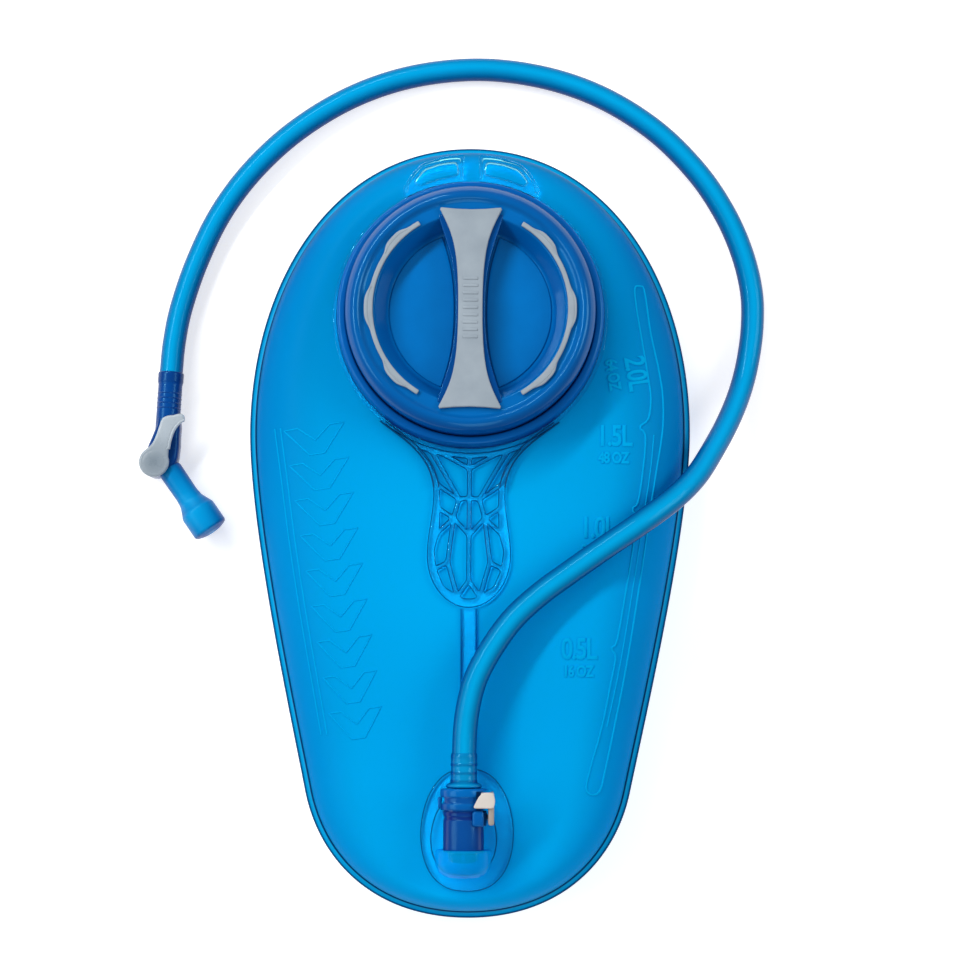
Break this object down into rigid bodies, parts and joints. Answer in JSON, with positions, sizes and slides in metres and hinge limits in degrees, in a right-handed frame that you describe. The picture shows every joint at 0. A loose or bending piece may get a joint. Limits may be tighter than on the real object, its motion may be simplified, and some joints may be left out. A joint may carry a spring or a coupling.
{
  "type": "hydration bladder",
  "caption": "Flat-lying drinking-water reservoir with a screw cap, ribbed handle, quick-release outlet, drinking hose, shutoff lever and bite valve.",
  "frame": {"origin": "bottom centre of the reservoir's own box, on the surface it lies on", "axes": "+Z out of the front face through the cap, +Y towards the hanging end, +X to the right seen from the front"},
  "size_m": [0.2749, 0.38, 0.068],
  "materials": {
    "film": "translucent blue polyurethane film, semi-gloss",
    "clear_moulding": "clear soft moulding, glossy",
    "collar_plastic": "translucent blue, glossy",
    "cap_plastic": "translucent blue, semi-gloss",
    "grip": "grey soft-touch, satin",
    "seal": "pale silicone rubber",
    "dark_plastic": "dark blue translucent moulding",
    "button": "cream acetal, satin",
    "steel": "stainless spring wire and plate",
    "connector_plastic": "clear blue, glossy",
    "hose": "translucent blue tube, glossy",
    "lever_plastic": "light grey, semi-gloss",
    "silicone": "blue silicone rubber, satin"
  },
  "bodies": {
    "reservoir": {"front_film": "film", "back_film": "film", "spine_strip": "clear_moulding", "fill_flange": "clear_moulding", "truss_handle": "clear_moulding", "fill_collar": "collar_plastic", "outlet_flange": "clear_moulding", "socket_housing": "dark_plastic", "socket_nose": "dark_plastic", "poppet_spring": "steel", "button_spring": "steel"},
    "cap_seal": {"cap_gasket": "seal"},
    "cap": {"cap_shell": "cap_plastic", "cap_grip": "grip", "cap_arc_left": "grip", "cap_arc_right": "grip"},
    "button": {"release_button": "button", "latch_plate": "steel"},
    "poppet": {"poppet": "seal"},
    "hose_assembly": {"hose_connector": "connector_plastic", "connector_o_ring": "seal", "hose": "hose", "shutoff_body": "dark_plastic", "bite_valve": "silicone"},
    "lever": {"shutoff_lever": "lever_plastic", "shutoff_rotor": "connector_plastic", "rotor_o_ring_upper": "seal", "rotor_o_ring_lower": "seal"}
  },
  "joints": [
    {"name": "cap_lift", "type": "slide", "parent": "reservoir", "child": "cap_seal", "axis": [0, 0, 1], "range_m": [0, 0.009]},
    {"name": "cap_turn", "type": "hinge", "parent": "cap_seal", "child": "cap", "pos_m": [0, 0.088, 0.06], "axis": [0, 0, 1], "range_deg": [0, 540]},
    {"name": "button_press", "type": "slide", "parent": "reservoir", "child": "button", "axis": [-1, 0, 0], "range_m": [0, 0.0015], "stiffness_N_per_m": 300, "springref_m": -0.001, "deforming": ["button_spring"]},
    {"name": "hose_pull", "type": "slide", "parent": "reservoir", "child": "hose_assembly", "axis": [0, 1, 0], "range_m": [0, 0.018]},
    {"name": "poppet_close", "type": "slide", "parent": "reservoir", "child": "poppet", "axis": [0, 1, 0], "range_m": [0, 0.003], "deforming": ["poppet_spring"]},
    {"name": "lever_turn", "type": "hinge", "parent": "hose_assembly", "child": "lever", "pos_m": [-0.1383, 0.028, 0.0084], "axis": [0, 0, 1], "range_deg": [0, 90]}
  ],
  "couplings": [
    {"joint": "cap_lift", "follows": "cap_turn", "m_per_rad": 0.00095493},
    {"joint": "poppet_close", "follows": "hose_pull", "ratio": 0.16666}
  ]
}
